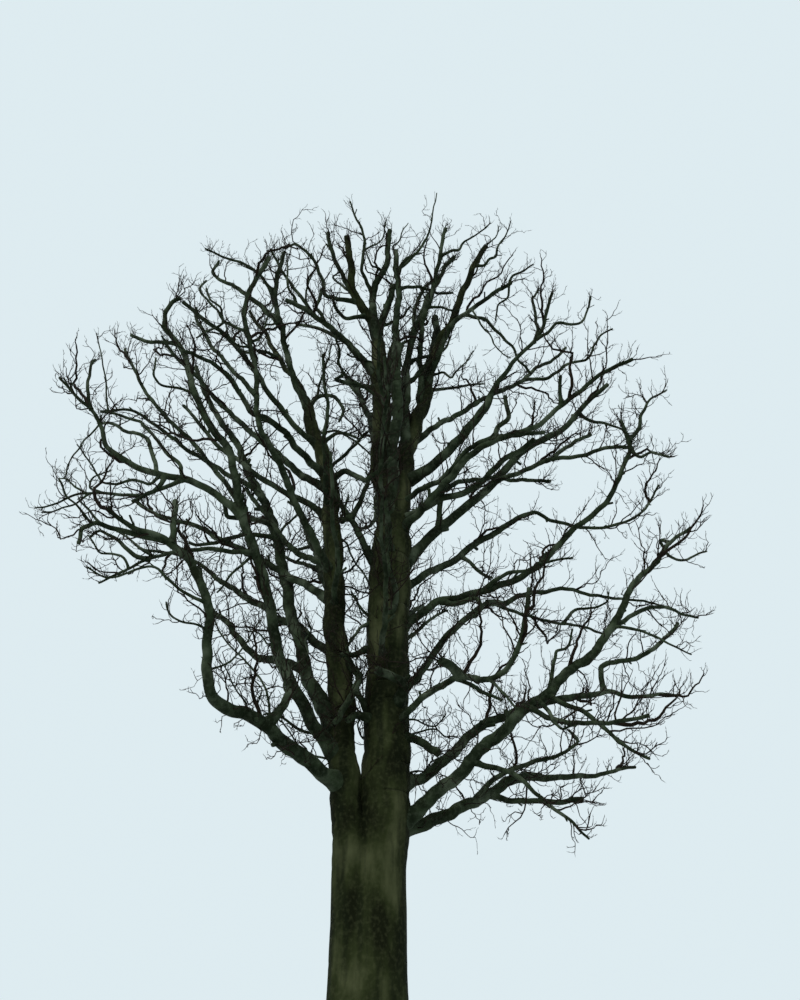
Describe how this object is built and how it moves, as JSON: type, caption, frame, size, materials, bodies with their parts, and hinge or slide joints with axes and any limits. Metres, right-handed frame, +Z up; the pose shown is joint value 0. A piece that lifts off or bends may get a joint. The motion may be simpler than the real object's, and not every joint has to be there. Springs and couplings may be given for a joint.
{
  "type": "bare winter tree",
  "caption": "Large leafless broadleaf tree: a flared trunk forks into upright stems, with crooked pruned boughs and fine bare twigs all round a wide rounded crown.",
  "frame": {"origin": "the middle of the flat cut under the trunk, where the tree stands on the ground", "axes": "+Z up along the trunk, +X to the right of the tree seen from its front, +Y away from the front"},
  "size_m": [14.8539, 10.3367, 20.6543],
  "materials": {
    "trunk_bark": "rough fissured grey-brown bark with a dull green tint of algae, matt",
    "bough_bark": "rough dark olive-brown bark, damp and matt, mossy on top of the lower boughs",
    "twigs": "thin dark brown bare twigs, matt"
  },
  "bodies": {
    "root": {"trunk": "trunk_bark", "stem_left": "trunk_bark", "stem_main": "trunk_bark", "leader_mid": "trunk_bark", "leader_right": "trunk_bark", "bough_low_right": "bough_bark", "bough_level": "bough_bark", "bough_low_right_back": "bough_bark", "bough_low_left": "bough_bark", "bough_low_left_rising": "bough_bark", "bough_left_front": "bough_bark", "bough_left_far": "bough_bark", "bough_left_inner": "bough_bark", "bough_left_mid": "bough_bark", "bough_upper_front": "bough_bark", "bough_upper_back": "bough_bark", "bough_dipping": "bough_bark", "bough_right_back": "bough_bark", "bough_right_front": "bough_bark", "bough_right_mid": "bough_bark", "bough_right_high": "bough_bark", "bough_upper_right": "bough_bark", "bough_upper_right_front": "bough_bark", "twigs_low_left": "twigs", "twigs_left_front": "twigs", "twigs_left_front_side": "twigs", "twigs_left_far": "twigs", "twigs_left_inner": "twigs", "twigs_left_mid": "twigs", "twigs_left_cross": "twigs", "twigs_upper_front": "twigs", "twigs_upper_back": "twigs", "twigs_upper_crossing": "twigs", "twigs_stem_tip_left": "twigs", "twigs_stem_tip_mid": "twigs", "twigs_low_right": "twigs", "twigs_low_right_back": "twigs", "twigs_low_right_front": "twigs", "twigs_dipping": "twigs", "twigs_right_back": "twigs", "twigs_right_front": "twigs", "twigs_right_mid": "twigs", "twigs_right_high": "twigs", "twigs_right_high_front": "twigs", "twigs_upper_right": "twigs", "twigs_upper_right_front": "twigs", "twigs_top_right_side": "twigs", "twigs_level": "twigs", "twigs_top_left": "twigs", "twigs_top_mid": "twigs", "twigs_top_front": "twigs", "twigs_top_centre": "twigs", "twigs_top_back": "twigs", "twigs_top_right": "twigs", "twigs_top_far_right": "twigs", "twigs_top_high": "twigs", "twigs_back_low": "twigs", "twigs_back_left": "twigs", "twigs_back_mid": "twigs", "twigs_back_high": "twigs"}
  },
  "joints": []
}
